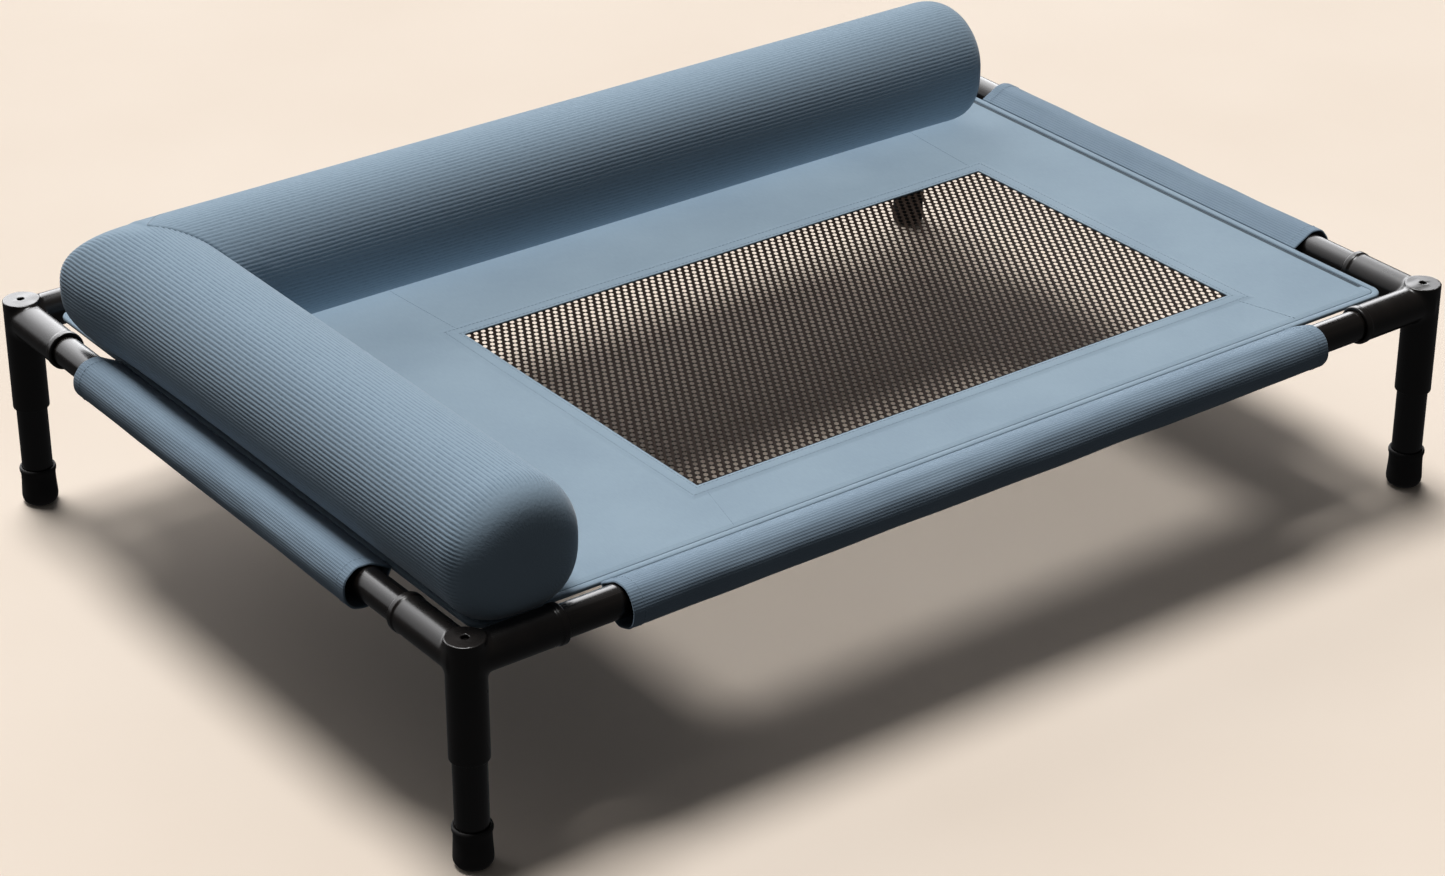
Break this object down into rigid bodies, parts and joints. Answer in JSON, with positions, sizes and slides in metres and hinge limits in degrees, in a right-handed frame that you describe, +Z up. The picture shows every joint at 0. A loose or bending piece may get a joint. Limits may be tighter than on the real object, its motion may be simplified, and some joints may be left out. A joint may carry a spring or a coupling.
{
  "type": "raised dog bed",
  "caption": "Raised dog bed: round tubular frame on four booted legs, stretched fabric deck with a mesh window, and an L-shaped padded bolster along one side and the back.",
  "frame": {"origin": "on the ground, under the middle of the frame", "axes": "+X along the long side, towards the end without a bolster; +Y towards the back bolster; +Z up"},
  "size_m": [1.075, 0.771, 0.311],
  "materials": {
    "fitting_plastic": "satin",
    "screw_steel": "satin",
    "insert_plastic": "matte",
    "tube_steel": "satin",
    "boot_rubber": "matte",
    "sleeve_fabric": "matte",
    "deck_fabric": "matte",
    "hem_fabric": "matte",
    "mesh_fabric": "matte",
    "bolster_fabric": "matte",
    "fibre_fill": "matte",
    "zip_tape": "matte"
  },
  "bodies": {
    "base": {"corner_fitting_front_left": "fitting_plastic", "head_screw_front_left": "screw_steel", "leg_insert_front_left": "insert_plastic", "leg_tube_front_left": "tube_steel", "foot_boot_front_left": "boot_rubber", "corner_fitting_front_right": "fitting_plastic", "head_screw_front_right": "screw_steel", "leg_insert_front_right": "insert_plastic", "leg_tube_front_right": "tube_steel", "foot_boot_front_right": "boot_rubber", "corner_fitting_back_right": "fitting_plastic", "head_screw_back_right": "screw_steel", "leg_insert_back_right": "insert_plastic", "leg_tube_back_right": "tube_steel", "foot_boot_back_right": "boot_rubber", "corner_fitting_back_left": "fitting_plastic", "head_screw_back_left": "screw_steel", "leg_insert_back_left": "insert_plastic", "leg_tube_back_left": "tube_steel", "foot_boot_back_left": "boot_rubber", "rail_front": "tube_steel", "sleeve_front": "sleeve_fabric", "rail_right": "tube_steel", "sleeve_right": "sleeve_fabric", "rail_back": "tube_steel", "sleeve_back": "sleeve_fabric", "rail_left": "tube_steel", "sleeve_left": "sleeve_fabric", "deck_panel": "deck_fabric", "deck_hem": "hem_fabric", "mesh_panel": "mesh_fabric"},
    "bolster": {"bolster_side_cover": "bolster_fabric", "bolster_side_fill": "fibre_fill", "bolster_side_zip": "zip_tape", "bolster_back_cover": "bolster_fabric", "bolster_back_fill": "fibre_fill", "bolster_back_zip": "zip_tape"}
  },
  "joints": [
    {"name": "bolster_lift", "type": "slide", "parent": "base", "child": "bolster", "axis": [0, 0, 1], "range_m": [0, 0.2]}
  ]
}
